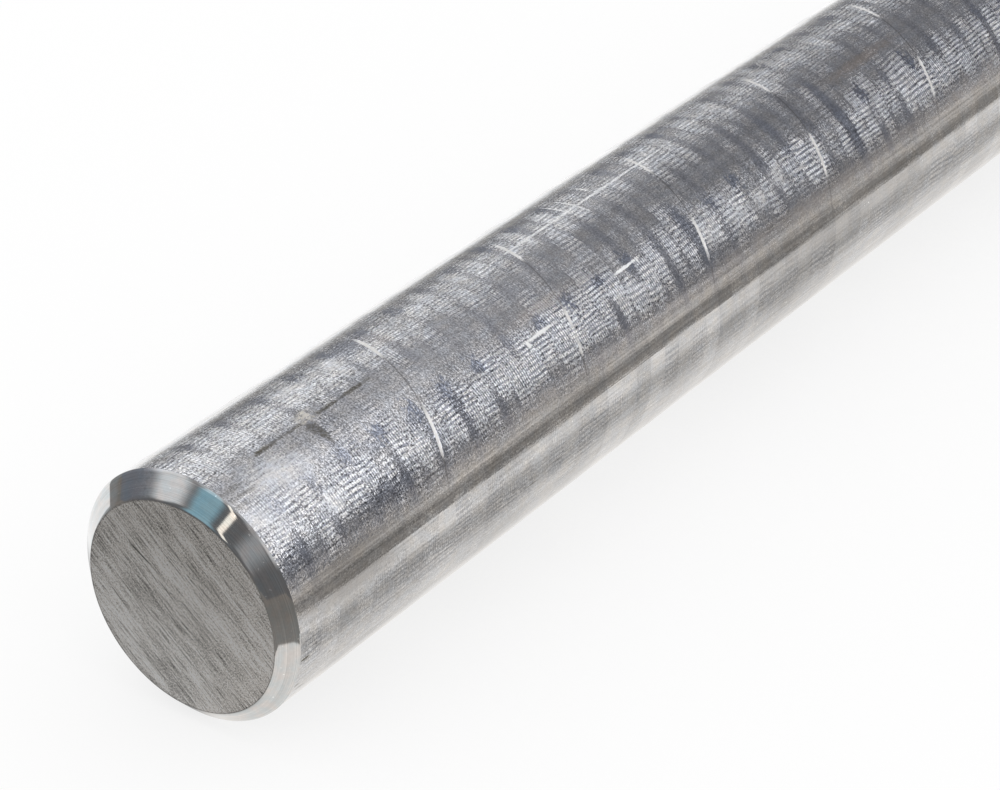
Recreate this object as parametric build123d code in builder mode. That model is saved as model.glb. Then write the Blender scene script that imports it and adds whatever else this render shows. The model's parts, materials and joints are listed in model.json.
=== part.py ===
from build123d import *
import math
import os

# A cut length of round bright steel bar. Both ends are sawn square and then chamfered
# on a lathe. Lengths are in millimetres and angles in degrees.
#
# Frame: the bar lies on the plane Z = 0 along X, and the origin is under its middle.
# The near end is at -X and the far end at +X.

# ---- Stock ----
bar_diameter = 40.0
bar_length = 1000.0

# ---- Chamfers, the same tool setting at both ends ----
chamfer_width = 2.9     # taken off the end face, measured across the bar
chamfer_depth = 2.7     # taken off the barrel, measured along the bar

# ---- Run-out of the near end's chamfer ----
# That end ran out of true in the chuck, so its chamfer is a cone round its own axis.
# The chamfer is wide on the side that the axis moved away from and narrow opposite it.
chamfer_runout = 0.5            # distance of the cone's axis from the bar's axis
runout_bearing = 231.0          # its direction, turned from +Y towards +Z

# ---- Derived sizes ----
bar_radius = bar_diameter / 2
end_face_radius = bar_radius - chamfer_width
runout_y = chamfer_runout * math.cos(math.radians(runout_bearing))
runout_z = chamfer_runout * math.sin(math.radians(runout_bearing))
cut_overrun = 2.0 + chamfer_runout      # how far the tool passes beyond the stock

os.makedirs("parts", exist_ok=True)


def chamfer_cut_profile():
    """The closed outline of what the tool removes, as seen beside the turning axis.

    Local X runs from the end face into the bar and local Y is the radius. The long side
    lies on the chamfer and passes beyond the stock at both of its ends.
    """
    slope = chamfer_width / chamfer_depth
    outside = (-cut_overrun, end_face_radius - slope * cut_overrun)
    inside = (chamfer_depth + cut_overrun, bar_radius + slope * cut_overrun)
    Polyline(outside, inside, (outside[0], inside[1]), close=True)


# ---- Round bar ----
near_centre = Vector(-bar_length / 2, 0, bar_radius)
far_centre = Vector(bar_length / 2, 0, bar_radius)
near_cone_centre = near_centre + Vector(0, runout_y, runout_z)

near_face = Plane(origin=near_centre, x_dir=(0, 1, 0), z_dir=(1, 0, 0))
near_cone_section = Plane(origin=near_cone_centre, x_dir=(1, 0, 0), z_dir=(0, -1, 0))
far_cone_section = Plane(origin=far_centre, x_dir=(-1, 0, 0), z_dir=(0, 1, 0))

with BuildPart() as round_bar:
    # The barrel, sawn square at both ends.
    with BuildSketch(near_face):
        Circle(bar_radius)
    extrude(amount=bar_length)

    # The near end's chamfer, turned round an axis that is off the bar's.
    with BuildSketch(near_cone_section):
        with BuildLine():
            chamfer_cut_profile()
        make_face()
    revolve(axis=Axis(near_cone_centre, (1, 0, 0)), mode=Mode.SUBTRACT)

    # The far end's chamfer, turned true to the bar.
    with BuildSketch(far_cone_section):
        with BuildLine():
            chamfer_cut_profile()
        make_face()
    revolve(axis=Axis(far_centre, (1, 0, 0)), mode=Mode.SUBTRACT)

round_bar.part.label = "round_bar"
export_step(round_bar.part, "parts/round_bar.step")
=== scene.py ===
"""Looks of the round metal bar: bright drawn steel, sawn square, chamfered on a lathe.

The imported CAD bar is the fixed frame. One detailed mesh stands for it, with a drawn and
straightened barrel, a turned chamfer round each end and two sawn end faces.
Blender lengths are metres; names that end in _mm are millimetres and _deg are degrees.
Bearings run round the bar's axis from +Y towards +Z: 90 is the top and 180 faces -Y.
"""
import bpy
import json
import math
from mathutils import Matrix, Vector, geometry, noise
from types import SimpleNamespace


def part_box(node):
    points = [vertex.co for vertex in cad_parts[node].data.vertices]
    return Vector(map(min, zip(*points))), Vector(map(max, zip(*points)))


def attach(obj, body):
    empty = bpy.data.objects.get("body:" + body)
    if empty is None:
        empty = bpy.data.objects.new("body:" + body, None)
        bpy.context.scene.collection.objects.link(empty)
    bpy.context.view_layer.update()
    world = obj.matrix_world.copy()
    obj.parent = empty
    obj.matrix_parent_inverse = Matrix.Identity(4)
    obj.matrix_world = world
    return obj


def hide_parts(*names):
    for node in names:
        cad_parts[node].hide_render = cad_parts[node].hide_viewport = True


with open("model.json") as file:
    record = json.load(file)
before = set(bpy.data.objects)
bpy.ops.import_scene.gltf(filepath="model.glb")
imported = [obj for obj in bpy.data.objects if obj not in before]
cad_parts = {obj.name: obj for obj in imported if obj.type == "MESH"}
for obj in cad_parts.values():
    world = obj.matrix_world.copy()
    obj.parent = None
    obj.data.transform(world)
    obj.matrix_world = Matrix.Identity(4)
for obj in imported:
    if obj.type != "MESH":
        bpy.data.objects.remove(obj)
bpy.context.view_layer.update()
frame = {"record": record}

MM = 0.001

# ---- The bar, read from the frame: its ends from the box, its round from the shank mount ----
bar_low, bar_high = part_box("round_bar")
shank = next(mount for mount in frame["record"]["mounts"] if mount["name"] == "shank")
NEAR_X = bar_low.x
LENGTH_MM = (bar_high.x - bar_low.x) / MM
RADIUS_MM = shank["dims"]["r_mm"]
AXIS_Y = shank["pos_m"][1]
AXIS_Z = shank["pos_m"][2]
FLOOR_Z = 0.0

# ---- Chamfers, as in the CAD source ----
CHAMFER_WIDTH_MM = 2.9
CHAMFER_DEPTH_MM = 2.7
RUNOUT_MM = 0.5
RUNOUT_BEARING_DEG = 231.0
FACE_RADIUS_MM = RADIUS_MM - CHAMFER_WIDTH_MM

# ---- Wear of the edges, which the CAD leaves out ----
EDGE_BREAK_MM = 0.06            # how far the blunt line on an edge goes to each side of it
BURR_MM = 0.14                  # scale of the torn burr on the near chamfer's outer edge
BURR_DEG = (164.0, 224.0)       # the burr lies between these, round the chamfer's own axis

# ---- Shallow relief of the barrel and the sawn faces ----
BARREL_DIP_MM = 0.006           # how far the barrel lies below its full radius, on average
BAND_WAVE_MM = 0.002            # wave that follows the bands of the rolls
SWELL_MM = 0.004                # broad swells
SAWN_DIP_MM = 0.03              # how far a sawn face lies below its rim, on average
SAW_RIDGES_MM = (               # width across the saw's lines, length along them, depth
    (0.4, 9.0, 0.010),
    (1.2, 16.0, 0.016),
    (4.0, 40.0, 0.03),
)

# ---- Mesh and the map on it ----
COLUMNS = 192                   # quads round the barrel
SHOWN_PIECES = 2                # eighths of the bar, from the near end, with the finer rings
SHOWN_RINGS = 100
PLAIN_RINGS = 28
PIECES = 8
CHAMFER_RINGS = 8
BEHIND_BURR_MM = 3.6            # the barrel's first ring, clear of the burr
EVEN_RINGS_FROM_MM = 5.0        # from here on, at both ends, the barrel's rings are evenly spaced
SAW_ROWS_INSET_MM = 0.25        # from the face's rim to its outermost points
SAW_LINE_MM = 0.2               # distance between the rows of a sawn face
SAW_STEP_MM = 1.0               # distance between points along a row
SHARP_DEG = 20.0                # edges that turn by more than this are shaded as sharp
TILE_MARGIN = 0.012             # of a tile of the map, left empty at each of its sides
CHAMFER_SPREAD = 0.6            # of a chamfer's depth, added to its radius on the map

# ---- Marks left by the straightening rolls ----
BAND_PITCH_MM = 7.8             # also the lead of the bands, which run round as one screw
BAND_START_MM = 39.5            # from the near face, on the bearing below
BAND_BEARING_DEG = 137.0
LOBES = 7                       # places round the bar where the rolls pressed harder
HARD_SIDE_DEG = 110.0           # the side of the bar where they pressed hardest
SCRATCH_LEAD_MM = 35.2
SCRATCH_START_MM = 40.7
SCRATCH_FIRST_MM = 31.0         # the near end of the winding scratch
DASHES_ROUND = 130              # dashes round the bar in the coarser patches
FINE_DASHES_ROUND = 168
CROSS_PITCH_MM = 0.46           # fine rings across the dashes
ARC_MM = RADIUS_MM * math.pi / 180      # length of one degree round the barrel

# ---- Sawn faces: the direction of the saw's lines, from +Y towards +Z ----
NEAR_SAW_DEG = 40.4
FAR_SAW_DEG = 118.0

# ---- White sheet that the bar lies on, as the metal reflects it ----
SHEET_LEFT_MM = -22.0           # past the near face, along the bar
SHEET_FRONT_MM = -75.0          # its front edge, across the bar from the axis
SHEET_FRONT_SLOPE = 0.01
SHEET_BACK_MM = 204.0           # its back edge, which runs in towards the bar
SHEET_BACK_SLOPE = 0.04


# ======== Shader graphs ========

class Field:
    """A number that a shader works out at every point. Arithmetic on it adds Math nodes."""

    def __init__(self, graph, socket):
        self.graph = graph
        self.socket = socket

    def _with(self, operation, other, swapped=False):
        first, second = (other, self) if swapped else (self, other)
        return self.graph.math(operation, first, second)

    def __add__(self, other):
        return self._with("ADD", other)

    def __radd__(self, other):
        return self._with("ADD", other)

    def __sub__(self, other):
        return self._with("SUBTRACT", other)

    def __rsub__(self, other):
        return self._with("SUBTRACT", other, True)

    def __mul__(self, other):
        return self._with("MULTIPLY", other)

    def __truediv__(self, other):
        return self._with("DIVIDE", other)


class Graph:
    """One node tree. A value handed to it may be a number, a colour, a socket or a Field."""

    def __init__(self, tree):
        self.tree = tree
        self.tree.nodes.clear()

    def add(self, kind, **settings):
        node = self.tree.nodes.new(kind)
        for name, value in settings.items():
            setattr(node, name, value)
        return node

    def feed(self, socket, value):
        if isinstance(value, Field):
            value = value.socket
        if isinstance(value, bpy.types.NodeSocket):
            self.tree.links.new(value, socket)
        else:
            socket.default_value = value

    def math(self, operation, first, second=None):
        node = self.add("ShaderNodeMath", operation=operation)
        self.feed(node.inputs[0], first)
        if second is not None:
            self.feed(node.inputs[1], second)
        return Field(self, node.outputs[0])

    def vector(self, x, y, z):
        node = self.add("ShaderNodeCombineXYZ")
        for socket, value in zip(node.inputs, (x, y, z)):
            self.feed(socket, value)
        return node.outputs[0]

    def split(self, socket):
        node = self.add("ShaderNodeSeparateXYZ")
        self.feed(node.inputs[0], socket)
        return [Field(self, output) for output in node.outputs]

    def rise(self, value, start, end):
        """Goes smoothly from 0 at start to 1 at end; end may be below start."""
        node = self.add("ShaderNodeMapRange", interpolation_type="SMOOTHSTEP")
        self.feed(node.inputs["Value"], value)
        self.feed(node.inputs["From Min"], start)
        self.feed(node.inputs["From Max"], end)
        return Field(self, node.outputs["Result"])

    def window(self, value, start, end, edge):
        """1 from start to end and 0 outside, with edges that are soft over the length edge."""
        return (self.rise(value, start - edge / 2, start + edge / 2)
                * self.rise(value, end + edge / 2, end - edge / 2))

    def noise(self, vector, detail=2.0, roughness=0.5):
        """Smooth noise from 0 to 1, about 0.5, that changes over a length of about 1."""
        node = self.add("ShaderNodeTexNoise")
        self.feed(node.inputs["Vector"], vector)
        node.inputs["Scale"].default_value = 1.0
        node.inputs["Detail"].default_value = detail
        node.inputs["Roughness"].default_value = roughness
        return Field(self, node.outputs[0])

    def random(self, value):
        """A number from 0 to 1 that stays the same for the same value."""
        node = self.add("ShaderNodeTexWhiteNoise", noise_dimensions="1D")
        self.feed(node.inputs["W"], value)
        return Field(self, node.outputs["Value"])

    def mix(self, share, first, second):
        """Colour first where share is 0 and second where it is 1."""
        node = self.add("ShaderNodeMix", data_type="RGBA")
        self.feed(node.inputs[0], share)
        self.feed(node.inputs[6], first)
        self.feed(node.inputs[7], second)
        return node.outputs[2]

    def blend(self, share, first, second):
        """Number first where share is 0 and second where it is 1."""
        return first + (second - first) * share

    def scaled(self, colour, share):
        """The colour times the number share."""
        node = self.add("ShaderNodeVectorMath", operation="SCALE")
        self.feed(node.inputs[0], colour)
        self.feed(node.inputs["Scale"], share)
        return node.outputs[0]

    def summed(self, first, second):
        """Colour first plus colour second."""
        node = self.add("ShaderNodeVectorMath", operation="ADD")
        self.feed(node.inputs[0], first)
        self.feed(node.inputs[1], second)
        return node.outputs[0]

    def mixed_shader(self, share, first, second):
        node = self.add("ShaderNodeMixShader")
        self.feed(node.inputs[0], share)
        self.feed(node.inputs[1], first)
        self.feed(node.inputs[2], second)
        return node.outputs[0]

    def added_shader(self, first, second):
        node = self.add("ShaderNodeAddShader")
        self.feed(node.inputs[0], first)
        self.feed(node.inputs[1], second)
        return node.outputs[0]

    def emission(self, colour):
        node = self.add("ShaderNodeEmission")
        self.feed(node.inputs["Color"], colour)
        return node.outputs[0]


def grey(level):
    return (level, level, level, 1.0)


# ======== Metal ========

def full_turn(graph, radians):
    """An angle in degrees from 0 to 360, from one in radians between -pi and pi."""
    turn = graph.math("DEGREES", radians)
    return turn + graph.math("LESS_THAN", turn, 0.0) * 360.0


def bar_place(graph):
    """Where a point is: mm along the bar, across it and up from its axis, and the bearing."""
    x, y, z = graph.split(graph.add("ShaderNodeTexCoord").outputs["Object"])
    side = (y - AXIS_Y) / MM
    up = (z - AXIS_Z) / MM
    bearing = full_turn(graph, graph.math("ARCTAN2", up, side))
    return SimpleNamespace(along=(x - NEAR_X) / MM, side=side, up=up, bearing=bearing)


def runout_offset(runout_mm):
    """How far across and up an end's turning axis is from the bar's, in mm."""
    turn = math.radians(RUNOUT_BEARING_DEG)
    return runout_mm * math.cos(turn), runout_mm * math.sin(turn)


def metal(name, build):
    """A metal material: build(graph) gives its colour, roughness and height in mm."""
    material = bpy.data.materials.new(name)
    material.use_nodes = True
    graph = Graph(material.node_tree)
    colour, roughness, height = build(graph)
    shader = graph.add("ShaderNodeBsdfPrincipled")
    shader.inputs["Metallic"].default_value = 1.0
    graph.feed(shader.inputs["Base Color"], colour)
    graph.feed(shader.inputs["Roughness"], roughness)
    bump = graph.add("ShaderNodeBump")
    bump.inputs["Strength"].default_value = 1.0
    bump.inputs["Distance"].default_value = MM
    graph.feed(bump.inputs["Height"], height)
    graph.feed(shader.inputs["Normal"], bump.outputs[0])
    output = graph.add("ShaderNodeOutputMaterial")
    graph.feed(output.inputs["Surface"], shader.outputs[0])
    return material


def barrel_noise(graph, at, length_mm, width_mm, detail=2.0, roughness=0.5):
    """Smooth noise with features of this length along the barrel and this width round it."""
    place = graph.vector(at.along / length_mm, at.side / width_mm, at.up / width_mm)
    return graph.noise(place, detail, roughness)


def band_noise(graph, at, number, width_mm):
    """Smooth noise round the barrel that is another one for each number."""
    return graph.noise(graph.vector(number, at.side / width_mm, at.up / width_mm), 1.0)


def rolled_bands(graph, at):
    """The rolls' screw of bands: halves, lobes, smooth lines, oil pools, how hard they pressed."""
    turned = at.turns - BAND_BEARING_DEG / 360.0
    ragged = barrel_noise(graph, at, 0.8, 1.1) - 0.5
    screw = (at.along - BAND_START_MM) / BAND_PITCH_MM + turned + ragged * 0.10
    band = graph.math("FLOOR", screw + 0.5)
    off_line = graph.math("ABSOLUTE", (screw - band) * BAND_PITCH_MM)
    strength = graph.rise(band_noise(graph, at, band * 5.3 + 40.0, 13.0), 0.28, 0.64)
    line = graph.rise(off_line, 1.7, 0.1) * strength
    middle = graph.rise(off_line, 2.5, 3.9) * strength * 0.6
    lines = graph.math("MAXIMUM", line, middle)
    lobes = graph.math("COSINE", turned * (LOBES * math.tau))
    lobe_phase = turned * LOBES + 0.5
    lobe_phase = lobe_phase - graph.math("FLOOR", lobe_phase)
    pools = (graph.window(lobe_phase + ragged * 0.5, 0.20, 0.32, 0.09)
             * graph.rise(off_line, 1.9, 0.5) * (0.25 + graph.random(band + 0.5) * 0.75))
    half_band = graph.math("FLOOR", screw * 2.0)
    pressed = band_noise(graph, at, half_band * 3.7, 6.0) + lobes * 0.17 + ragged * 0.10
    return half_band, lobes, lines, pools, pressed


def rolled_dashes(graph, at, half_band):
    """Dashes along the bar, fine rings across them, and where the rings are the stronger."""
    wander = barrel_noise(graph, at, 9.0, 5.0) - 0.5
    shift = graph.random(half_band)
    coarse = graph.math("SINE", (at.turns * DASHES_ROUND + wander * 1.2 + shift) * math.tau)
    fine = graph.math("SINE", (at.turns * FINE_DASHES_ROUND + wander * 1.5 + shift) * math.tau)
    wave = graph.blend(graph.rise(graph.random(half_band + 0.5), 0.35, 0.65), coarse, fine)
    broken = barrel_noise(graph, at, 2.6, 0.5) - 0.5
    dashes = graph.rise(wave + broken * 2.8, -0.5, 0.15)
    wander = barrel_noise(graph, at, 3.0, 5.0, 1.0)
    rings = graph.math("SINE", (at.along / CROSS_PITCH_MM + wander * 1.6) * math.tau)
    faded = barrel_noise(graph, at, 0.9, 1.6) - 0.5
    rings = graph.rise(rings + faded * 3.2, -0.7, 0.3)
    crossed = graph.rise(band_noise(graph, at, half_band * 2.3 + 11.0, 3.2), 0.40, 0.62)
    return dashes, rings, crossed


def winding_scratch(graph, at, on_lobe):
    """The long thin scratch that winds round the bar and comes and goes."""
    wind = (at.along - SCRATCH_START_MM) / SCRATCH_LEAD_MM + (at.turns - BAND_BEARING_DEG / 360.0)
    off = (wind - graph.math("FLOOR", wind + 0.5)) * SCRATCH_LEAD_MM
    fade = graph.rise(barrel_noise(graph, at, 9.0, 8.0, 1.0), 0.20, 0.42)
    fade = fade * graph.rise(at.along, SCRATCH_FIRST_MM, SCRATCH_FIRST_MM + 4.0)
    near = graph.math("ABSOLUTE", off) - on_lobe * 0.20
    return graph.rise(near, 0.20, 0.02) * fade


def rolled_marks(graph, at):
    """What the rolls left on the barrel, about 0 to 1; half_band is the half band's number."""
    half_band, lobes, lines, pools, pressed = rolled_bands(graph, at)
    dashes, rings, crossed = rolled_dashes(graph, at, half_band)
    hard_side = graph.rise(graph.math("COSINE", (at.turns - HARD_SIDE_DEG / 360.0) * math.tau),
                           0.55, 0.77)
    lines = lines * (0.3 + hard_side * (0.45 + graph.rise(at.bearing, 85.0, 115.0) * 0.25))
    on_lobe = graph.rise(lobes, -0.1, 0.6)
    scratch = winding_scratch(graph, at, on_lobe) * hard_side
    scratch = scratch * graph.rise(at.bearing, 73.0, 82.0)
    return SimpleNamespace(half_band=half_band, lines=lines, pools=pools, pressed=pressed,
                           dashes=dashes, rings=rings, crossed=crossed, hard_side=hard_side,
                           on_lobe=on_lobe, scratch=scratch)


# Single marks near the barrel's near end. Each has the place of its middle (mm along the bar and
# bearing in degrees), half its length and half its width in mm, and its strength.
STAINS_AND_BURR_SHADOWS = (
    (15.4, 101.0, 3.0, 0.45, 1.0),
    (21.5, 101.0, 3.6, 0.26, 0.8),
    (29.2, 101.2, 3.2, 0.38, 0.9),
    (35.6, 101.3, 3.4, 0.40, 0.95),
    (24.6, 110.5, 0.7, 2.3, 0.85),
    (24.2, 105.6, 1.2, 1.3, 0.75),
    (25.2, 96.6, 1.3, 0.8, 0.5),
    (5.4, 108.0, 2.4, 0.5, 0.5),
    (6.2, 112.5, 2.8, 0.4, 0.45),
    (5.0, 116.0, 2.0, 0.4, 0.45),
    # These four dark marks are painted shadows of the burr on the near chamfer's edge, not stains.
    (3.6, 188.5, 0.9, 0.20, 1.0),
    (3.3, 203.5, 0.6, 0.24, 1.0),
    (4.4, 207.5, 1.4, 0.22, 1.0),
    (3.5, 211.5, 0.9, 0.26, 1.0),
    (9.6, 196.0, 0.30, 0.16, 0.8),
    (57.5, 187.0, 1.3, 0.16, 0.7),
)
RUSTY_TINTS = (
    (171.0, 110.0, 12.0, 1.3, 0.6),
    (72.0, 119.0, 9.0, 1.0, 0.25),
    (48.0, 86.0, 2.6, 3.0, 0.2),
)
CHALKY_SPOTS = (
    (25.0, 99.4, 1.7, 1.3, 0.85),
)
SCUFFED_PATCHES = (
    (13.0, 112.0, 10.0, 5.4, 1.0),
    (5.0, 124.0, 6.0, 4.0, 0.8),
    (17.0, 136.5, 3.4, 3.2, 0.6),
    (7.0, 131.0, 5.0, 3.4, 0.6),
    (38.4, 81.5, 3.8, 3.2, 0.85),
    (29.3, 80.0, 3.6, 3.6, 0.85),
    (69.5, 81.0, 2.4, 3.6, 0.9),
    (128.0, 137.0, 3.6, 3.4, 0.7),
    (134.5, 134.0, 3.6, 3.2, 0.6),
    (90.0, 137.0, 4.0, 3.0, 0.5),
    (165.0, 137.0, 5.0, 3.0, 0.5),
    (113.5, 137.0, 3.2, 4.2, 0.8),
    (121.5, 136.0, 3.0, 4.2, 0.8),
)
OILY_PATCHES = (
    (27.0, 146.0, 6.5, 2.2, 0.75),
    (6.5, 145.0, 3.4, 2.6, 0.65),
    (110.0, 130.0, 1.7, 8.0, 0.8),
    (156.6, 131.0, 1.6, 10.0, 1.0),
    (141.0, 112.0, 1.4, 4.4, 0.7),
    (47.4, 136.0, 1.4, 6.0, 0.8),
    (40.6, 139.0, 1.2, 5.0, 0.6),
    (29.5, 127.5, 1.5, 1.3, 0.7),
    (38.5, 127.5, 1.6, 1.4, 0.7),
    (46.0, 127.0, 1.6, 1.2, 0.7),
    (44.0, 78.0, 5.0, 3.4, 0.8),
)
DULL_PATCHES = (
    (15.0, 158.0, 11.0, 1.5, 0.65),
    (15.0, 170.0, 12.0, 1.9, 0.65),
    (150.0, 172.5, 42.0, 3.0, 0.50),
    (44.0, 188.0, 6.0, 5.0, 0.20),
    (98.0, 186.0, 5.0, 5.5, 0.30),
    (131.0, 190.0, 8.0, 4.5, 0.25),
    (80.0, 119.5, 21.0, 1.9, 0.45),
    (140.0, 152.5, 44.0, 1.5, 0.50),
    (160.0, 76.5, 24.0, 2.2, 0.30),
    (160.0, 121.5, 24.0, 2.2, 0.30),
)
DOTTED_SCRATCHES = (
    (100.0, 86.3, 27.0, 0.26, 1.0),
)
FINE_SCRATCHES = (
    (69.8, 129.0, 3.9, 0.28, 1.0),
    (66.3, 130.2, 0.40, 0.70, 1.0),
    (93.4, 127.0, 3.2, 0.26, 0.9),
    (96.2, 127.6, 0.30, 0.50, 0.9),
    (85.3, 87.0, 0.18, 1.6, 0.8),
    (96.3, 79.0, 0.18, 3.0, 0.7),
    (98.8, 84.0, 0.18, 4.0, 0.7),
    (104.3, 78.0, 0.18, 2.2, 0.7),
)


def barrel_spots(graph, at, ragged, spots, full):
    """Ragged spots on the barrel, together from 0 to 1; each is whole out to the share full."""
    total = 0.0
    for middle, bearing_deg, half_length, half_width, strength in spots:
        lengthwise = (at.along - middle) / half_length
        crosswise = (at.bearing - bearing_deg) * ARC_MM / half_width
        reach = graph.math("SQRT", lengthwise * lengthwise + crosswise * crosswise)
        spot = graph.rise(reach + ragged, 1.3, full) * strength
        total = graph.math("MAXIMUM", total, spot)
    return total


# Colours of the metal and of the marks on it.
METAL_WARM = (0.600, 0.585, 0.567, 1.0)
METAL_COOL = (0.570, 0.581, 0.595, 1.0)
DULL = (0.34, 0.33, 0.32, 1.0)
ROLLED_DARK = (0.42, 0.43, 0.465, 1.0)     # the rolls' smooth lines, with old oil in them
OILY = (0.47, 0.505, 0.575, 1.0)
MATT_WARM = (0.83, 0.81, 0.78, 1.0)
MATT_COOL = (0.79, 0.81, 0.84, 1.0)
# Light and dark tints of the winding scratch: painted highlight on the lobes and painted shade
# between them.
SCRATCH_PAINTED_LIT = (0.85, 0.84, 0.82, 1.0)
SCRATCH_PAINTED_SHADE = (0.30, 0.295, 0.29, 1.0)
DASH_DARK = (0.22, 0.23, 0.265, 1.0)
POOL_BLUE = (0.30, 0.33, 0.40, 1.0)
# Dark of the stains, also used for the painted shadows of the burr on the barrel.
STAIN_AND_BURR_SHADOW_DARK = (0.16, 0.148, 0.12, 1.0)
RUSTY = (0.60, 0.515, 0.44, 1.0)
CHALKY = (0.80, 0.76, 0.68, 1.0)
BARE_SPECK = (0.95, 0.95, 0.94, 1.0)
TURNED_COOL = (0.555, 0.585, 0.595, 1.0)
TURNED_WARM = (0.62, 0.597, 0.58, 1.0)
SMUDGED = (0.44, 0.45, 0.50, 1.0)
SAWN = (0.83, 0.805, 0.775)


def woven_grain(graph, at):
    """The steel's own grain, about 0: short lines along the bar, lines across it, and points."""
    lengthwise = barrel_noise(graph, at, 1.5, 0.22)
    crosswise = barrel_noise(graph, at, 0.25, 1.5)
    points = barrel_noise(graph, at, 0.32, 0.26, 1.0)
    return (lengthwise - 0.5) * 0.45 + (crosswise - 0.5) * 0.45 + (points - 0.5) * 1.7


def steel_fields(graph, at):
    """Drawing lines, grain, waves, clouds and streaks, about 0; hue, crumbs and specks, 0 to 1."""
    streaks = barrel_noise(graph, at, 45.0, 0.55) - 0.5
    return SimpleNamespace(
        drawn=barrel_noise(graph, at, 14.0, 0.35, 3.0, 0.6) - 0.5,
        drawn_wide=barrel_noise(graph, at, 40.0, 1.1) - 0.5,
        grain=woven_grain(graph, at),
        broad=barrel_noise(graph, at, 18.0, 5.0) - 0.5,
        clouds=barrel_noise(graph, at, 6.0, 3.0, 3.0) - 0.5,
        streaks=streaks * graph.window(at.bearing, 151.0, 168.0, 4.0),
        hue=graph.rise(barrel_noise(graph, at, 2.4, 1.8, 3.0, 0.6), 0.30, 0.70),
        crumbs=graph.rise(barrel_noise(graph, at, 0.45, 0.35, 2.0, 0.6), 0.36, 0.58),
        specks=graph.rise(barrel_noise(graph, at, 0.5, 0.5, 0.0), 0.84, 0.88))


def handling_marks(graph, at, crumbs):
    """The marks of handling and storage, each from 0 to 1; the stains include painted shadows of
    the burr.
    """
    ragged = (barrel_noise(graph, at, 0.9, 0.7, 3.0) - 0.5) * 1.3
    stains_and_burr_shade = barrel_spots(graph, at, ragged * 1.7, STAINS_AND_BURR_SHADOWS, 0.6)
    chalky = barrel_spots(graph, at, ragged * 2.2, CHALKY_SPOTS, 0.5)
    scored = barrel_spots(graph, at, ragged * 1.2, FINE_SCRATCHES, 0.6)
    dotted = barrel_spots(graph, at, ragged, DOTTED_SCRATCHES, 0.6)
    return SimpleNamespace(
        stains_and_burr_shade=stains_and_burr_shade * (0.45 + crumbs * 0.55),
        rusty=barrel_spots(graph, at, ragged, RUSTY_TINTS, 0.2),
        chalky=chalky * (0.25 + crumbs * 0.75),
        scuffed=barrel_spots(graph, at, ragged * 0.5, SCUFFED_PATCHES, -0.1),
        oily=barrel_spots(graph, at, ragged, OILY_PATCHES, 0.3),
        dull=barrel_spots(graph, at, ragged * 0.6, DULL_PATCHES, 0.2),
        scored=graph.math("MAXIMUM", scored, dotted * (0.25 + crumbs * 0.75)))


def barrel_plaid(graph, at, rolled, scuffed):
    """How clear the plaid of dashes and rings is: most on the side that was pressed hardest."""
    low_plaid = (graph.window(at.bearing, 169.0, 192.0, 9.0)
                 * graph.rise(graph.random(rolled.half_band + 0.75), 0.35, 0.60) * 0.30)
    return (graph.rise(rolled.pressed, 0.28, 0.66)
            * (0.15 + rolled.hard_side * 0.85 + low_plaid)
            * (1.0 - rolled.lines)
            * (0.6 + graph.rise(at.bearing, 95.0, 125.0) * 0.4
               - graph.window(at.bearing, 145.0, 168.0, 6.0) * 0.45) * (1.0 - scuffed * 0.8))


def barrel_matt(graph, at, rolled, steel, marks):
    """Where the rolls roughened the steel it scatters the lamps; the rest mirrors the room."""
    patch = graph.rise(rolled.pressed, 0.16, 0.84) * (1.0 - rolled.lines)
    matt = graph.math("MAXIMUM", patch * (1.0 - marks.oily) * (0.45 + rolled.hard_side * 0.55),
                      marks.scuffed)
    matt = matt * (0.70 + rolled.dashes * 0.30) * (0.85 + rolled.rings * 0.15)
    matt = matt * (1.0 - graph.window(at.bearing, 145.5, 153.0, 5.0) * 0.30)
    return graph.math("MAXIMUM", matt + steel.grain * (0.2 + matt * 0.8), 0.0)


def grain_crispness(graph, at, scuffed):
    """How crisp the grain is: most towards the near end, less near the top, least in scuffs."""
    crisp = (1.0 + graph.rise(at.along, 90.0, 25.0) * 0.45) * (1.0 - scuffed * 0.75)
    return crisp * (1.0 - graph.window(at.bearing, 94.0, 119.0, 8.0)
                    * graph.rise(at.along, 28.0, 50.0) * 0.30)


def barrel_height(rolled, steel, marks, plaid, crisp):
    """The barrel's fine relief in mm."""
    rough_grain = steel.grain * (0.2 + rolled.hard_side * 0.8)
    return (rolled.dashes * plaid * 0.007
            + rolled.rings * plaid * 0.003
            + steel.drawn_wide * 0.018
            + rolled.lines * -0.003
            + steel.drawn * 0.002
            + rough_grain * crisp * 0.012
            + steel.broad * 0.012
            + rolled.scratch * rolled.on_lobe * -0.012
            + marks.scored * 0.006)


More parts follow.
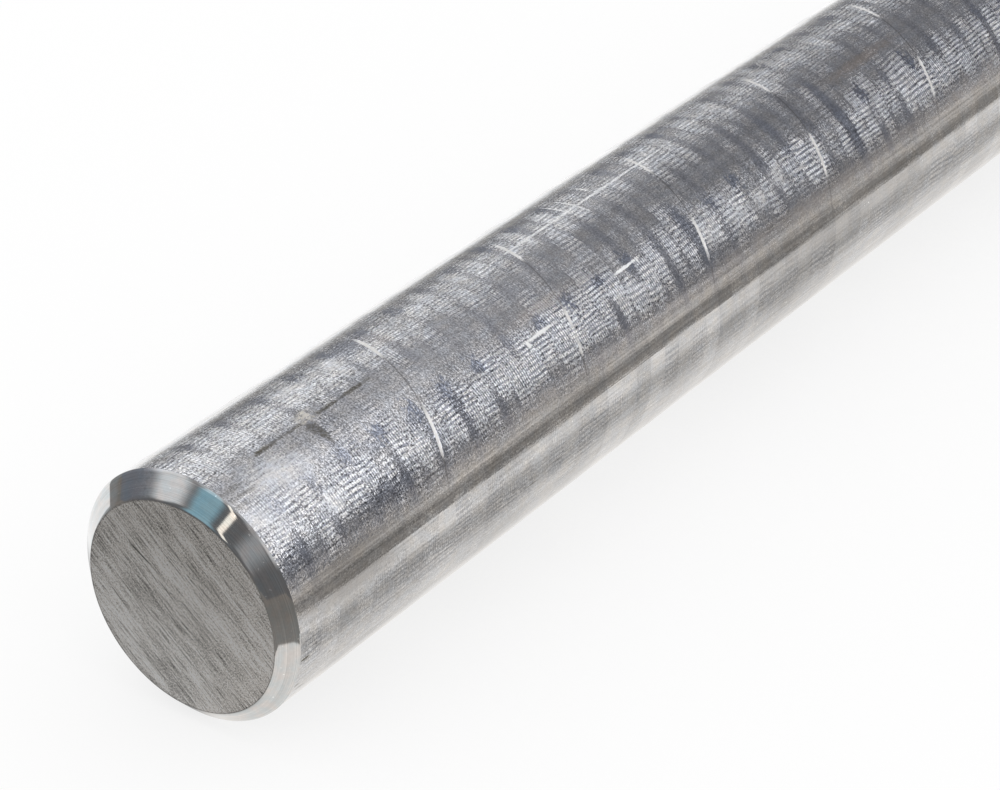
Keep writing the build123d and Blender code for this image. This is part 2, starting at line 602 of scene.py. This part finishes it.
def barrel_colour(graph, at, rolled, steel, marks, plaid, matt, crisp):
    """The barrel's colour: bare or matt metal, then the plaid and oil, then the single marks."""
    bare = graph.mix(steel.hue, METAL_WARM, METAL_COOL)
    colour = graph.mix(rolled.lines * 0.8, bare, ROLLED_DARK)
    colour = graph.mix(marks.oily * 0.7, colour, OILY)
    colour = graph.mix(matt, colour, graph.mix(steel.hue, MATT_WARM, MATT_COOL))
    colour = graph.mix((1.0 - rolled.dashes) * plaid * (0.95 - rolled.crossed * 0.45), colour,
                       DASH_DARK)
    colour = graph.mix((1.0 - rolled.rings) * plaid * (0.45 + rolled.crossed * 0.50), colour,
                       DASH_DARK)
    pools = (rolled.pools * rolled.hard_side * (1.0 - marks.scuffed)
             * (0.25 + graph.rise(at.bearing, 95.0, 115.0) * 0.45))
    colour = graph.mix(pools, colour, POOL_BLUE)
    low_bands = (graph.random(rolled.half_band + 0.25) - 0.5) * (1.0 - rolled.hard_side)
    tone = (1.0 + steel.grain * crisp * (0.25 + rolled.hard_side * 0.5 + plaid * 0.6)
            + steel.drawn * (0.65 - rolled.hard_side * 0.3) + steel.drawn_wide * 0.4
            + steel.clouds * 0.25 + steel.streaks * 1.2 + low_bands * 0.20)
    colour = graph.scaled(colour, tone)
    # The scratch's light tint on the lobes is painted highlight and its dark tint between them is
    # painted shade; its extra roughness and depth on the lobes are relief.
    scratch_painted_light_tint = graph.mix(rolled.on_lobe, SCRATCH_PAINTED_SHADE, SCRATCH_PAINTED_LIT)
    # The stain tint also paints the burr's shadows beside the near chamfer.
    for share, tint in ((rolled.scratch, scratch_painted_light_tint), (marks.dull, DULL),
                        (marks.stains_and_burr_shade, STAIN_AND_BURR_SHADOW_DARK), (marks.rusty, RUSTY), (marks.chalky, CHALKY),
                        (marks.scored, BARE_SPECK), (steel.specks, BARE_SPECK)):
        colour = graph.mix(share, colour, tint)
    return colour


def barrel_pattern(graph):
    """Drawn steel, rolled straight: a screw of bands, each filled with patches of dashes."""
    at = bar_place(graph)
    at.turns = at.bearing / 360.0       # the bearing as a share of a full turn
    rolled = rolled_marks(graph, at)
    steel = steel_fields(graph, at)
    marks = handling_marks(graph, at, steel.crumbs)
    marks.oily = graph.math("MAXIMUM", marks.oily, rolled.pools * rolled.hard_side * 0.9)
    plaid = barrel_plaid(graph, at, rolled, marks.scuffed)
    matt = barrel_matt(graph, at, rolled, steel, marks)
    crisp = grain_crispness(graph, at, marks.scuffed)
    colour = barrel_colour(graph, at, rolled, steel, marks, plaid, matt, crisp)
    shine = (0.08 + rolled.hard_side * 0.04 + matt * 0.43 + steel.broad * 0.08
             + rolled.scratch * rolled.on_lobe * 0.35 + marks.scored * 0.35
             + marks.chalky * 0.3)
    return colour, shine, barrel_height(rolled, steel, marks, plaid, crisp)


def turned_pattern(runout_mm):
    """A turned chamfer: fine rings round the cone's own axis, which is off by runout_mm."""
    off_side, off_up = runout_offset(runout_mm)

    def build(graph):
        at = bar_place(graph)
        along, side, up = at.along, at.side, at.up
        cone_side = side - off_side
        cone_up = up - off_up
        out = graph.math("SQRT", cone_side * cone_side + cone_up * cone_up)
        slow = graph.noise(graph.vector(side / 5.0, up / 5.0, along / 5.0), 2.0)
        rings = graph.noise(graph.vector(out / 0.11, side / 30.0, up / 30.0), 3.0, 0.7)
        feed = graph.math("SINE", (out / 0.16) * math.tau)
        blotches = graph.noise(graph.vector(side / 0.5, up / 0.5, along / 0.5), 3.0, 0.6)
        fringes = graph.noise(graph.vector(side / 2.2, up / 2.2, out / 1.2), 2.0)
        specks = graph.rise(graph.noise(graph.vector(side / 0.4, up / 0.4, along / 0.4), 0.0),
                            0.82, 0.86)
        smudge = (graph.window(at.bearing, 58.0, 74.0, 10.0)
                  * graph.rise(blotches + slow * 0.4, 0.52, 0.80))
        height = rings * 0.0018 + feed * 0.0002 + smudge * 0.0006
        shine = 0.02 + slow * 0.07 + smudge * 0.18
        colour = graph.mix(graph.rise(fringes, 0.30, 0.70), TURNED_COOL, TURNED_WARM)
        colour = graph.scaled(colour, 1.0 + (rings - 0.5) * 0.8 + (blotches - 0.5) * 0.2)
        colour = graph.mix(smudge * 0.4, colour, SMUDGED)
        return graph.mix(specks, colour, BARE_SPECK), shine, height
    return build


# The scratch across the saw's lines on the near face: its ends, across the bar and up from its
# axis, in mm.
FACE_SCRATCH = ((8.9, 7.2), (4.7, 4.6))


def across_face(graph, side, up, start, end):
    """1 on the fine straight line from start to end, and 0 off it."""
    length = math.dist(start, end)
    turn = math.atan2(end[1] - start[1], end[0] - start[0])
    from_side = side - (start[0] + end[0]) / 2
    from_up = up - (start[1] + end[1]) / 2
    lengthwise = from_side * math.cos(turn) + from_up * math.sin(turn)
    crosswise = from_up * math.cos(turn) - from_side * math.sin(turn)
    return (graph.rise(graph.math("ABSOLUTE", crosswise), 0.20, 0.06)
            * graph.rise(graph.math("ABSOLUTE", lengthwise), length / 2, length / 2 - 1.2))


def sawn_pattern(direction_deg, seed, runout_mm, scratches):
    """A sawn face: close parallel lines, with broader lighter and darker streaks."""
    turn = math.radians(direction_deg)
    middle_side, middle_up = runout_offset(runout_mm)

    def build(graph):
        at = bar_place(graph)
        side, up = at.side, at.up
        with_saw = side * math.cos(turn) + up * math.sin(turn)
        across = up * math.cos(turn) - side * math.sin(turn)
        lines = graph.noise(graph.vector(across / 0.24, with_saw / 4.0, seed), 1.0, 0.6)
        bands = graph.noise(graph.vector(across / 0.6, with_saw / 8.0, seed + 4.0), 2.0)
        streaks = graph.noise(graph.vector(across / 2.2, with_saw / 30.0, seed + 9.0), 2.0)
        broad = graph.noise(graph.vector(across / 6.0, with_saw / 16.0, seed + 15.0), 1.0)
        grain = graph.noise(graph.vector(side / 0.24, up / 0.24, seed), 2.0, 0.6)
        hairs = graph.rise(lines + (bands - 0.5) * 0.6, 0.40, 0.27)
        off_side = side - middle_side
        off_up = up - middle_up
        radius = graph.math("SQRT", off_side * off_side + off_up * off_up)
        rim = graph.rise(radius, FACE_RADIUS_MM - 0.32, FACE_RADIUS_MM - 0.10)
        scratch = 0.0
        for start, end in scratches:
            scratch = graph.math("MAXIMUM", scratch, across_face(graph, side, up, start, end))
        height = lines * 0.010 + bands * 0.005 + grain * 0.012 - hairs * 0.004 - scratch * 0.05
        shine = 0.54 + (streaks - 0.5) * 0.2
        tone = (0.975 + (lines - 0.5) * 1.6 + (bands - 0.5) * 0.7 + (streaks - 0.5) * 1.0
                + (broad - 0.5) * 0.9 + (grain - 0.5) * 2.6 - hairs * 0.12)
        tone = tone * (1.0 - rim * 0.45) * (1.0 - scratch * 0.65)
        return graph.scaled(SAWN, tone), shine, height
    return build


# ======== Mesh ========

BARREL, NEAR_TURNED, FAR_TURNED, NEAR_SAWN, FAR_SAWN = range(5)


class Builder:
    """Collects points and faces in mm, with a material and map places for each face."""

    def __init__(self):
        self.points = []
        self.faces = []
        self.kinds = []
        self.places = []

    def ring(self, points):
        """Adds one closed row of points and gives their numbers."""
        first = len(self.points)
        self.points.extend(points)
        return list(range(first, len(self.points)))

    def face(self, corners, kind, places):
        self.faces.append(corners)
        self.kinds.append(kind)
        self.places.append(places)

    def band(self, first, second, kind, place):
        """Quads that face outwards between two rings, the second further along the bar.

        place(column, which) is a corner's place on the map.
        """
        count = len(first)
        for column in range(count):
            after = (column + 1) % count
            corners = (first[column], first[after], second[after], second[column])
            places = (place(column, 0), place(column + 1, 0),
                      place(column + 1, 1), place(column, 1))
            self.face(corners, kind, places)


def on_bar(along, radius, bearing, off_side=0.0, off_up=0.0):
    """A point in mm: along from the near face, then across and up from the bar's axis."""
    return (along, off_side + radius * math.cos(bearing), off_up + radius * math.sin(bearing))


def tile_place(tile, across, along):
    """A place on the map, from a place between 0 and 1 on one of its 3 x 3 tiles."""
    column, row = tile % 3, tile // 3
    inner = 1 - 2 * TILE_MARGIN
    return (column + TILE_MARGIN + inner * across) / 3, (row + TILE_MARGIN + inner * along) / 3


def disc_place(far, side, up):
    """A place on the ninth tile, which holds both ends as discs. side and up are in mm."""
    reach = 2 * (RADIUS_MM + CHAMFER_DEPTH_MM)
    across = (side / reach + 0.5) / 2 + (0.5 if far else 0.0)
    return tile_place(8, across, up / reach / 2 + 0.5)


def saw_relief(across, with_saw, seed):
    """How far a sawn face lies below its average in mm: lines, ridges and swells of the saw."""
    relief = 0.0
    for width, length, depth in SAW_RIDGES_MM:
        relief += depth * noise.noise(Vector((across / width, with_saw / length, seed)))
    return relief


def add_sawn_face(builder, rim, far, direction_deg, seed, centre):
    """Fills the rim with rows of points along the saw's lines."""
    turn = math.radians(direction_deg)
    limit = FACE_RADIUS_MM - EDGE_BREAK_MM - SAW_ROWS_INSET_MM
    flat = [Vector((builder.points[i][1], builder.points[i][2])) for i in rim]
    edges = [(i, (i + 1) % len(rim)) for i in range(len(rim))]
    rows = int(limit / SAW_LINE_MM)
    steps = int(limit / SAW_STEP_MM)
    x = LENGTH_MM if far else 0.0
    inward = -1.0 if far else 1.0
    numbers = list(rim)
    for row in range(-rows, rows + 1):
        for step in range(-steps, steps + 1):
            across = row * SAW_LINE_MM
            with_saw = (step + 0.5 * (row % 2)) * SAW_STEP_MM
            if math.hypot(across, with_saw) > limit:
                continue
            side = centre[0] + with_saw * math.cos(turn) - across * math.sin(turn)
            up = centre[1] + with_saw * math.sin(turn) + across * math.cos(turn)
            flat.append(Vector((side, up)))
            deep = SAWN_DIP_MM + saw_relief(across, with_saw, seed)
            numbers.append(len(builder.points))
            builder.points.append((x + inward * max(deep, 0.0), side, up))
    made = geometry.delaunay_2d_cdt(flat, edges, [], 0, 1e-6)
    assert len(made[0]) == len(flat)
    kind = FAR_SAWN if far else NEAR_SAWN
    for triangle in made[2]:
        corners = [numbers[made[3][i][0]] for i in triangle]
        if not far:
            corners.reverse()
        places = [disc_place(far, *builder.points[i][1:]) for i in corners]
        builder.face(corners, kind, places)


def burr(angle):
    """How far the torn burr stands out from the near chamfer's edge, in mm."""
    middle, reach = sum(BURR_DEG) / 2, (BURR_DEG[1] - BURR_DEG[0]) / 2
    inside = max(0.0, 1.0 - (abs(math.degrees(angle) - middle) / reach) ** 4)
    return BURR_MM * inside * max(0.0, 0.25 + noise.noise(Vector((angle * 46.0, 3.1, 5.3))))


def chamfer_rings(builder, far, runout_mm):
    """The rings of one chamfered end, from the sawn face's rim to the barrel's edge."""
    off_side, off_up = runout_offset(runout_mm)
    angles = [math.tau * column / COLUMNS for column in range(COLUMNS)]
    slope = CHAMFER_DEPTH_MM / CHAMFER_WIDTH_MM
    outer = []
    for angle in angles:
        ahead = off_side * math.cos(angle) + off_up * math.sin(angle)
        outer.append(-ahead + math.sqrt(ahead ** 2 + RADIUS_MM ** 2 - runout_mm ** 2))

    def row(radius_at, depth_at, torn=False):
        points = []
        for angle, reach in zip(angles, outer):
            depth = depth_at(reach)
            along = LENGTH_MM - depth if far else depth
            radius = radius_at(reach) + (burr(angle) if torn else 0.0)
            points.append(on_bar(along, radius, angle, off_side, off_up))
        return builder.ring(points)

    rows = [row(lambda reach: FACE_RADIUS_MM - EDGE_BREAK_MM, lambda reach: 0.0)]
    for step in range(CHAMFER_RINGS + 1):
        share = step / CHAMFER_RINGS

        def radius_at(reach):
            low = FACE_RADIUS_MM + EDGE_BREAK_MM
            return low + (reach - EDGE_BREAK_MM - low) * share
        rows.append(row(radius_at, lambda reach: (radius_at(reach) - FACE_RADIUS_MM) * slope,
                        torn=step == CHAMFER_RINGS and not far))
    rows.append(row(lambda reach: reach,
                    lambda reach: (reach - FACE_RADIUS_MM) * slope + EDGE_BREAK_MM,
                    torn=not far))
    return rows, (off_side, off_up)


def barrel_dip(along, bearing):
    """How far the barrel lies below its full radius, in mm: the rolls' shallow waves."""
    screw = (along - BAND_START_MM) / BAND_PITCH_MM + bearing / math.tau
    swell = noise.noise(Vector((along / 30.0, 2 * math.cos(bearing), 2 * math.sin(bearing))))
    return BARREL_DIP_MM + BAND_WAVE_MM * math.cos(math.tau * screw) + SWELL_MM * swell


def build_bar():
    """The whole bar as one closed mesh, with a map of nine tiles for its baked finish."""
    builder = Builder()
    near_rows, near_centre = chamfer_rings(builder, False, RUNOUT_MM)
    far_rows, far_centre = chamfer_rings(builder, True, 0.0)
    # The barrel's rings keep the bearings of the near chamfer's edge, so its columns run straight.
    near_edge = near_rows[-1]
    bearings = [math.atan2(builder.points[i][2], builder.points[i][1]) for i in near_edge]

    add_sawn_face(builder, near_rows[0], False, NEAR_SAW_DEG, seed=3.0, centre=near_centre)
    add_sawn_face(builder, far_rows[0], True, FAR_SAW_DEG, seed=71.0, centre=far_centre)
    for far, rows in ((False, near_rows), (True, far_rows)):
        kind = FAR_TURNED if far else NEAR_TURNED
        for first, second in zip(rows, rows[1:]):
            if far:
                first, second = second, first

            def place(column, which, pair=(first, second), far=far):
                along, side, up = builder.points[pair[which][column % COLUMNS]]
                depth = LENGTH_MM - along if far else along
                radius = math.hypot(side, up)
                stretch = (radius + depth * CHAMFER_SPREAD) / radius
                return disc_place(far, side * stretch, up * stretch)
            builder.band(first, second, kind, place)

    last = near_edge
    for piece in range(PIECES):
        start = LENGTH_MM * piece / PIECES
        end = LENGTH_MM * (piece + 1) / PIECES
        count = SHOWN_RINGS if piece < SHOWN_PIECES else PLAIN_RINGS
        first_ring = EVEN_RINGS_FROM_MM if piece == 0 else start
        last_ring = LENGTH_MM - EVEN_RINGS_FROM_MM if piece == PIECES - 1 else end
        stations = [first_ring + (last_ring - first_ring) * i / count for i in range(count + 1)]
        if piece == 0:
            stations.insert(0, BEHIND_BURR_MM)
        else:
            stations = stations[1:]
        rings = [last]
        for along in stations:
            rings.append(builder.ring([
                on_bar(along, RADIUS_MM - barrel_dip(along, bearing), bearing)
                for bearing in bearings]))
        if piece == PIECES - 1:
            rings.append(far_rows[-1])
        for first, second in zip(rings, rings[1:]):

            def place(column, which, pair=(first, second), piece=piece, start=start):
                along = builder.points[pair[which][column % COLUMNS]][0]
                share = (along - start) * PIECES / LENGTH_MM
                return tile_place(piece, column / COLUMNS, share)
            builder.band(first, second, BARREL, place)
        last = rings[-1]
    return builder


def mesh_object(name, builder, materials):
    """Turns the collected points and faces into a Blender object, in metres."""
    mesh = bpy.data.meshes.new(name)
    points = [(NEAR_X + x * MM, AXIS_Y + y * MM, AXIS_Z + z * MM) for x, y, z in builder.points]
    mesh.from_pydata(points, [], builder.faces)
    for material in materials:
        mesh.materials.append(material)
    mesh.polygons.foreach_set("material_index", builder.kinds)
    layer = mesh.uv_layers.new(name="OFBake")
    flat = [value for places in builder.places for place in places for value in place]
    layer.data.foreach_set("uv", flat)
    mesh.shade_smooth()
    mesh.set_sharp_from_angle(angle=math.radians(SHARP_DEG))
    mesh.update()
    item = bpy.data.objects.new(name, mesh)
    bpy.context.scene.collection.objects.link(item)
    return item


# ======== Stage: floor, world and camera ========

def ray_kinds(graph):
    """Two numbers, 1 or 0: for the camera's own rays, and for mirrored or transmitted ones."""
    path = graph.add("ShaderNodeLightPath")
    camera = Field(graph, path.outputs["Is Camera Ray"])
    glossy = Field(graph, path.outputs["Is Glossy Ray"])
    through = Field(graph, path.outputs["Is Transmission Ray"])
    mirrored = graph.math("MAXIMUM", glossy, through)
    return camera, mirrored


# The studio that the metal reflects: soft lights that run beside and above the bar in a dark
# room, and a few small cards past its near end. A direction's bearing runs round the bar's axis
# from +Y towards +Z, and its reach is its share along the bar: 1 straight ahead, -1 straight back.
LONG_LIGHTS = (
    # name, bearing from and to, edge, fades out ahead and behind, colour added
    ("left_light", (37.0, 58.0), 13.0, (0.58, 0.50), (0.0, 0.20), (3.7, 3.7, 3.7)),
    ("left_box", (16.0, 58.0), 22.0, (0.80, 0.70), (0.0, 0.20), (0.33, 0.33, 0.33)),
    ("left_behind", (25.0, 53.0), 14.0, (0.10, -0.02), (-0.68, -0.56), (0.74, 0.74, 0.75)),
    ("overhead", (60.0, 122.0), 20.0, (0.74, 0.64), (-0.68, -0.58), (0.38, 0.38, 0.39)),
    ("upper_right", (94.0, 124.0), 24.0, (0.65, 0.59), (0.05, 0.25), (1.2, 1.2, 1.24)),
    ("right_light", (130.0, 149.0), 13.0, (0.58, 0.50), (0.0, 0.20), (5.2, 5.2, 5.25)),
    ("right_box", (122.0, 148.0), 18.0, (0.80, 0.68), (0.0, 0.20), (0.20, 0.20, 0.205)),
    ("right_behind", (124.0, 150.0), 16.0, (0.15, 0.0), (-0.78, -0.66), (0.60, 0.60, 0.61)),
    ("low_right_glow", (168.0, 184.0), 6.0, (0.98, 0.90), (0.64, 0.68), (0.24, 0.215, 0.19)),
    ("low_right_line", (171.0, 176.0), 4.0, (0.74, 0.70), (0.64, 0.68), (0.25, 0.22, 0.19)),
)
SMALL_CARDS = (
    # name, azimuth from and to, elevation from and to, edge, colour added
    ("teal_card", (147.5, 171.0), (25.0, 60.0), 9.0, (0.15, 0.35, 0.44)),
    ("narrow_strip", (178.4, 183.8), (24.0, 56.0), 1.4, (1.30, 1.20, 1.05)),
    ("grey_card", (197.0, 209.0), (14.0, 46.0), 9.0, (0.25, 0.25, 0.255)),
)
DARK_ROOM = (0.245, 0.248, 0.268)       # ahead of the bar
DARK_BEHIND = (0.165, 0.165, 0.17)      # past the near end, on the camera's side
BLUE_SIDE = (0.035, 0.05, 0.075)        # added above the horizon on the +Y side


def studio(graph):
    """The studio round the bar as a colour for each direction."""
    direction = graph.add("ShaderNodeTexCoord").outputs["Generated"]
    x, y, z = graph.split(direction)
    elevation = graph.math("DEGREES", graph.math("ARCSINE", z))
    azimuth = full_turn(graph, graph.math("ARCTAN2", y, x))
    bearing = full_turn(graph, graph.math("ARCTAN2", z, y))
    colour = graph.mix(graph.rise(x, -0.35, 0.45), (*DARK_BEHIND, 1.0), (*DARK_ROOM, 1.0))
    blue_side = graph.window(azimuth, 88.0, 112.0, 8.0) * graph.rise(elevation, -8.0, 4.0)
    colour = graph.summed(colour, graph.scaled(BLUE_SIDE, blue_side))
    for _, sides, edge, ahead, behind, tint in LONG_LIGHTS:
        lit = (graph.window(bearing, *sides, edge)
               * graph.rise(x, *ahead) * graph.rise(x, *behind))
        colour = graph.summed(colour, graph.scaled(tint, lit))
    for _, sides, heights, edge, tint in SMALL_CARDS:
        lit = graph.window(azimuth, *sides, edge) * graph.window(elevation, *heights, edge)
        colour = graph.summed(colour, graph.scaled(tint, lit))
    return colour


PLAIN_LEVEL = 1.0               # strength of the light that diffuse surfaces get


def make_world():
    world = bpy.data.worlds.new("studio")
    bpy.context.scene.world = world
    world.use_nodes = True
    world.cycles.sampling_method = "NONE"
    graph = Graph(world.node_tree)
    camera, mirrored = ray_kinds(graph)
    plain = graph.mix(camera, grey(PLAIN_LEVEL), grey(1.0))
    colour = graph.mix(mirrored, plain, studio(graph))
    background = graph.add("ShaderNodeBackground")
    graph.feed(background.inputs["Color"], colour)
    output = graph.add("ShaderNodeOutputWorld")
    graph.feed(output.inputs["Surface"], background.outputs[0])


FLOOR_SIZE_MM = 12000.0
SHEET_LEVEL = 1.12              # behind the bar
SHEET_WARM = (0.98, 0.955, 0.93, 1.0)   # in front of it
SHADE_FROM_MM = -43.0           # the darker band beside the bar, across from its axis
SHADE_TO_MM = -26.0
SHADE_EDGE_MM = 18.0
SHADE_DEPTH = 0.47
NEAR_SHADE_MM = -12.0           # out to here from the darker band the sheet is a little dimmer
NEAR_SHADE_DEPTH = 0.12
BACK_SHADE_DEPTH = 0.55         # of the bar's shade on the sheet behind it
CONTACT_DEPTH = 0.6             # of the shade close under the near face
END_SHADE_DEPTH = 0.6           # of the shade in front of the near face
# The floor beyond the sheet, as metal sees it.
ROOM_NEAR_SHEET = (0.31, 0.295, 0.28, 1.0)      # in front of the bar, close to the sheet
ROOM_FRONT = (0.64, 0.605, 0.57, 1.0)   # further in front
ROOM_BACK = (0.30, 0.30, 0.30, 1.0)     # behind the bar, beside its near half
ROOM_FAR = (0.56, 0.55, 0.53, 1.0)      # behind the bar, beside its far half
ROOM_BEHIND = (0.245, 0.23, 0.215, 1.0)     # past the near face
SHADOW_SHARE = 0.25             # how much of the floor's white comes from light that casts shadows


def floor_material():
    """White floor that keeps a soft shadow; metal sees it as a white sheet in a dark room."""
    material = bpy.data.materials.new("pale_floor")
    material.use_nodes = True
    material.cycles.emission_sampling = "NONE"
    graph = Graph(material.node_tree)
    _, mirrored = ray_kinds(graph)
    x, y, _ = graph.split(graph.add("ShaderNodeTexCoord").outputs["Object"])
    along = (x - NEAR_X) / MM
    side = (y - AXIS_Y) / MM
    on_sheet = (graph.rise(along, SHEET_LEFT_MM - 1.0, SHEET_LEFT_MM + 1.0)
                * graph.rise(side - along * SHEET_FRONT_SLOPE,
                             SHEET_FRONT_MM - 1.0, SHEET_FRONT_MM + 1.0)
                * graph.rise(side + along * SHEET_BACK_SLOPE,
                             SHEET_BACK_MM + 3.0, SHEET_BACK_MM - 3.0))
    diffuse = graph.add("ShaderNodeBsdfDiffuse")
    diffuse.inputs["Color"].default_value = grey(SHADOW_SHARE / PLAIN_LEVEL)
    white = graph.added_shader(graph.emission(grey(1.0 - SHADOW_SHARE)), diffuse.outputs[0])
    # The sheet as metal sees it: warm in front of the bar, with the bar's soft shadow there.
    shade = (graph.window(side, SHADE_FROM_MM, SHADE_TO_MM, SHADE_EDGE_MM)
             * graph.rise(along, 0.0, 25.0) * SHADE_DEPTH)
    near_shade = graph.window(side, SHADE_TO_MM, NEAR_SHADE_MM, 8.0) * NEAR_SHADE_DEPTH
    shade = graph.math("MAXIMUM", shade, near_shade * graph.rise(along, 0.0, 25.0))
    end_shade = (graph.window(along, -24.0, -1.0, 6.0)
                 * graph.rise(side, -18.0, -6.0) * END_SHADE_DEPTH)
    shade = graph.math("MAXIMUM", shade, end_shade)
    contact = graph.rise(along, -9.0, -2.0) * graph.window(side, -2.0, 14.0, 6.0) * CONTACT_DEPTH
    shade = graph.math("MAXIMUM", shade, contact)
    behind = graph.rise(side, 52.0, 36.0) * graph.rise(side, 5.0, 20.0) * BACK_SHADE_DEPTH
    shade = graph.math("MAXIMUM", shade, behind * graph.rise(along, -5.0, 5.0))
    tint = graph.mix(graph.rise(side, 5.0, -5.0), grey(SHEET_LEVEL), SHEET_WARM)
    sheet = graph.emission(graph.scaled(tint, 1.0 - shade))
    # The floor beyond the sheet.
    front = graph.mix(graph.rise(side, -125.0, -210.0), ROOM_NEAR_SHEET, ROOM_FRONT)
    back = graph.mix(graph.rise(along, 450.0, 700.0), ROOM_BACK, ROOM_FAR)
    sides = graph.mix(graph.rise(side, -20.0, 20.0), front, back)
    room = graph.emission(graph.mix(graph.rise(along, 0.0, -90.0), sides, ROOM_BEHIND))
    mirrored_floor = graph.mixed_shader(on_sheet, room, sheet)
    surface = graph.mixed_shader(mirrored, white, mirrored_floor)
    output = graph.add("ShaderNodeOutputMaterial")
    graph.feed(output.inputs["Surface"], surface)
    return material


def make_floor():
    half = FLOOR_SIZE_MM * MM / 2
    mesh = bpy.data.meshes.new("floor")
    corners = [(-half, -half, FLOOR_Z), (half, -half, FLOOR_Z),
               (half, half, FLOOR_Z), (-half, half, FLOOR_Z)]
    mesh.from_pydata(corners, [], [(0, 1, 2, 3)])
    mesh.materials.append(floor_material())
    floor = bpy.data.objects.new("floor", mesh)
    bpy.context.scene.collection.objects.link(floor)


# The camera, from the middle of the near face: along the bar, across it and up.
CAMERA_MM = (-307.64, -280.71, 291.62)
TARGET_MM = (72.12, -3.41, 0.0)
LENS_MM = 128.9
SENSOR_MM = 36.0
CLIP_M = (0.01, 100.0)


def make_camera():
    near_face = Vector((NEAR_X, AXIS_Y, AXIS_Z))
    camera = bpy.data.objects.new("camera", bpy.data.cameras.new("camera"))
    camera.data.lens = LENS_MM
    camera.data.sensor_width = SENSOR_MM
    camera.data.clip_start, camera.data.clip_end = CLIP_M
    camera.location = near_face + Vector(CAMERA_MM) * MM
    look = near_face + Vector(TARGET_MM) * MM - camera.location
    camera.rotation_mode = "QUATERNION"
    camera.rotation_quaternion = look.to_track_quat("-Z", "Y")
    bpy.context.scene.collection.objects.link(camera)
    bpy.context.scene.camera = camera


# ======== Scene ========

bpy.context.scene.view_settings.view_transform = "Standard"
make_world()
make_floor()
make_camera()

finishes = [
    metal("drawn_barrel", barrel_pattern),
    metal("turned_chamfer_near", turned_pattern(RUNOUT_MM)),
    metal("turned_chamfer_far", turned_pattern(runout_mm=0.0)),
    metal("sawn_face_near", sawn_pattern(NEAR_SAW_DEG, 5.0, RUNOUT_MM, [FACE_SCRATCH])),
    metal("sawn_face_far", sawn_pattern(FAR_SAW_DEG, 57.0, 0.0, [])),
]
bright_bar = mesh_object("bright_bar", build_bar(), finishes)
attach(bright_bar, "root")
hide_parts("round_bar")
